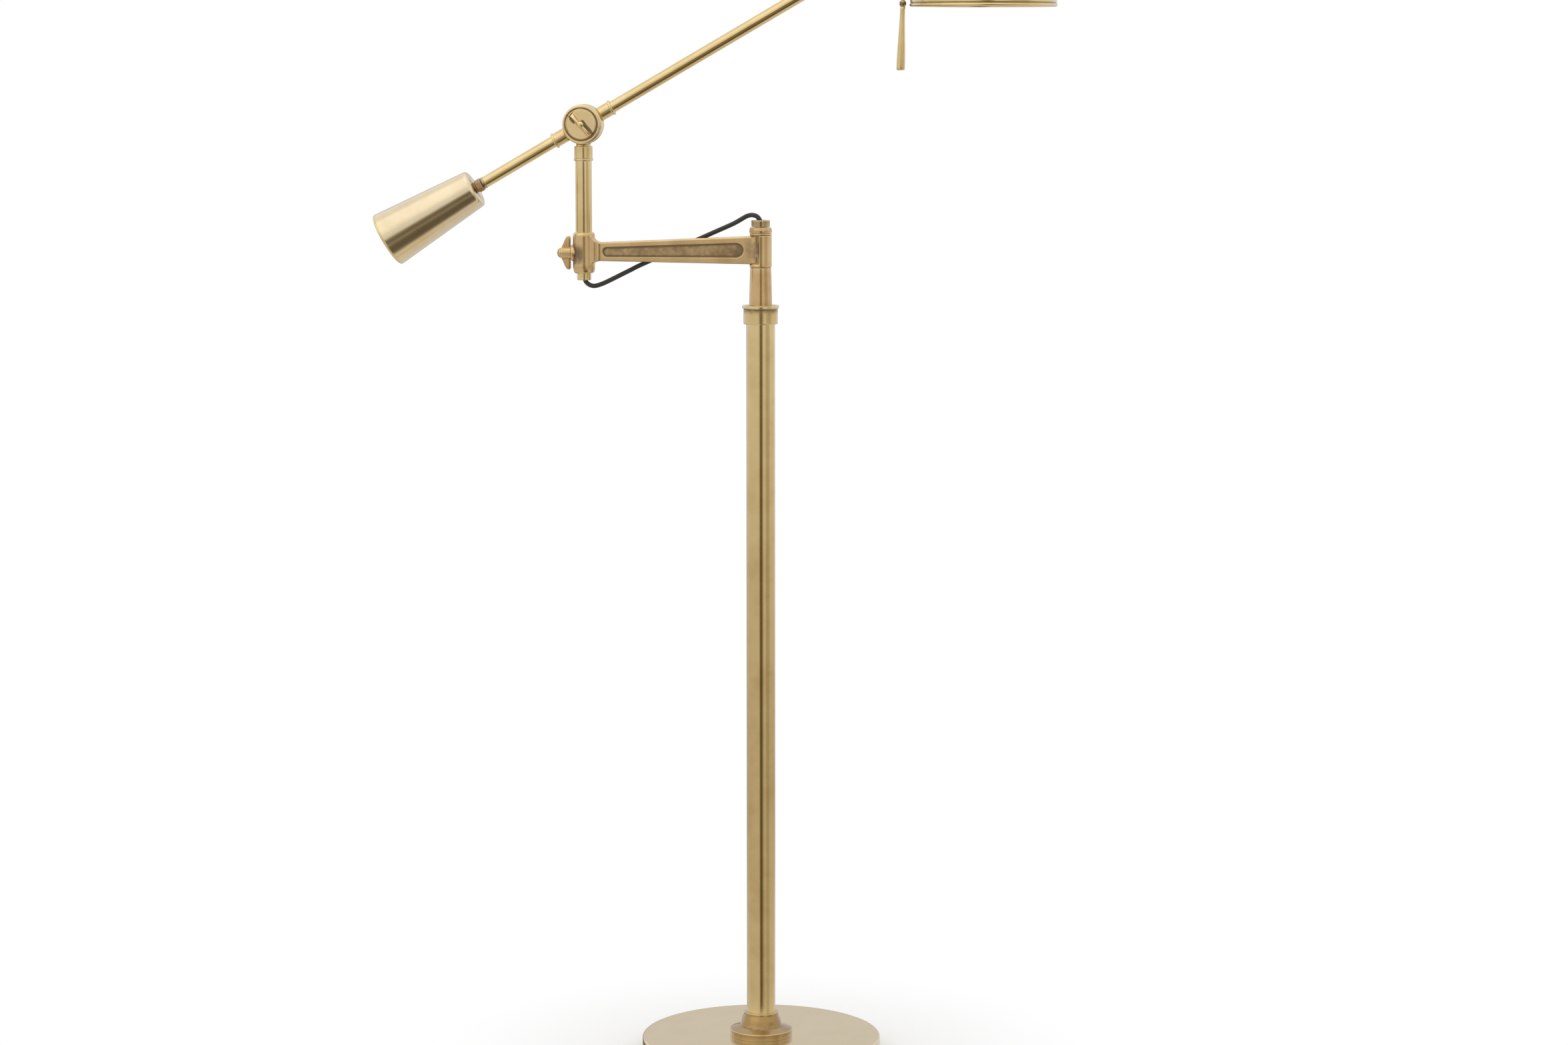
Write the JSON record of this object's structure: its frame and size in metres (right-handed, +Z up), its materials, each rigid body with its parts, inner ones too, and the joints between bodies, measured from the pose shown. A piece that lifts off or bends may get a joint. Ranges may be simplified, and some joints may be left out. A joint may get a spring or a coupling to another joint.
{
  "type": "bridge floor lamp",
  "caption": "Floor lamp with a weighted round base, a swing arm clamping a stem, and a counterweighted boom with a tilting head.",
  "frame": {"origin": "on the floor, on the column's axis, under the base", "axes": "+Z up the column; the swing arm reaches to -X and the boom rises to +X; +Y is the back, where the cord gland is"},
  "size_m": [0.8597, 0.308, 1.4553],
  "materials": {
    "brass": "satin, lightly antiqued",
    "dark_brass": "antiqued",
    "iron": "as cast",
    "steel": "plated",
    "bronze": "turned",
    "felt": "wool felt",
    "lead": "matte black sheath",
    "black_fibre": "pressed fibre",
    "white_enamel": "white enamel",
    "board": "coated board",
    "opal": "opal"
  },
  "bodies": {
    "stand": {"base_felt": "felt", "base_weight": "iron", "base_shell": "brass", "cord_gland": "lead", "base_washer": "steel", "base_nut": "steel", "tie_pipe": "steel", "base_flange": "brass", "column_plug": "steel", "column_tube": "brass", "column_collar": "brass", "column_spigot": "brass", "column_lead": "lead", "thrust_washer": "bronze", "top_nut": "brass"},
    "arm": {"arm_casting": "brass", "journal_bush": "bronze", "hub_ring": "brass", "clamp_shoe": "dark_brass", "linking_lead": "lead"},
    "wing_screw": {"clamp_screw": "brass", "screw_button": "brass"},
    "lead_bush": {"cord_bush": "brass"},
    "stem": {"stem_tube": "brass", "stem_ring": "brass", "stem_collar": "brass", "tilt_housing": "brass", "tilt_back_cap": "brass", "pivot_bolt": "steel", "friction_washer": "black_fibre"},
    "knob": {"tilt_knob": "brass", "knob_button": "dark_brass"},
    "boom": {"tilt_cheek": "brass", "front_sleeve": "brass", "rear_sleeve": "brass", "front_sleeve_ring": "brass", "rear_sleeve_ring": "brass", "front_tube": "brass", "rear_tube": "brass", "boom_lead": "lead", "weight_rod": "steel", "weight_lock_ring": "brass", "weight_shell": "brass", "weight_core": "iron", "weight_cap": "brass", "boom_knuckle": "brass", "knuckle_bolt": "brass", "knuckle_washer": "black_fibre"},
    "head": {"head_knuckle": "brass", "head_arm": "brass", "handle_rod": "brass", "handle_bead": "dark_brass", "handle_grip": "brass", "holder_cup": "brass", "cup_cap": "brass", "shade": "brass", "light_housing": "white_enamel", "light_board": "board", "diffuser": "opal"},
    "switch": {"switch_knob": "dark_brass"}
  },
  "joints": [
    {"name": "arm_swing", "type": "hinge", "parent": "stand", "child": "arm", "pos_m": [0, 0, 1.03355], "axis": [0, 0, 1], "range_deg": [-170, 170]},
    {"name": "stem_slide", "type": "slide", "parent": "arm", "child": "lead_bush", "axis": [0, 0, 1], "range_m": [-0.06, 0], "deforming": ["linking_lead"]},
    {"name": "stem_turn", "type": "hinge", "parent": "lead_bush", "child": "stem", "pos_m": [-0.2234, 0, 1.03035], "axis": [0, 0, 1], "range_deg": [-160, 160]},
    {"name": "boom_tilt", "type": "hinge", "parent": "stem", "child": "boom", "pos_m": [-0.2234, 0, 1.19005], "axis": [0, -1, 0], "range_deg": [-50, 12]},
    {"name": "head_tilt", "type": "hinge", "parent": "boom", "child": "head", "pos_m": [0.17978, 0, 1.42471], "axis": [0, -1, 0], "range_deg": [-20, 75]},
    {"name": "wing_turn", "type": "hinge", "parent": "arm", "child": "wing_screw", "pos_m": [-0.2434, 0, 1.02895], "axis": [-1, 0, 0], "range_deg": [0, 180]},
    {"name": "knob_turn", "type": "hinge", "parent": "stem", "child": "knob", "pos_m": [-0.2234, -0.018, 1.19005], "axis": [0, -1, 0], "range_deg": [0, 180]},
    {"name": "switch_turn", "type": "hinge", "parent": "head", "child": "switch", "pos_m": [0.27718, 0, 1.44881], "axis": [0, 0, 1], "range_deg": [0, 270]}
  ]
}
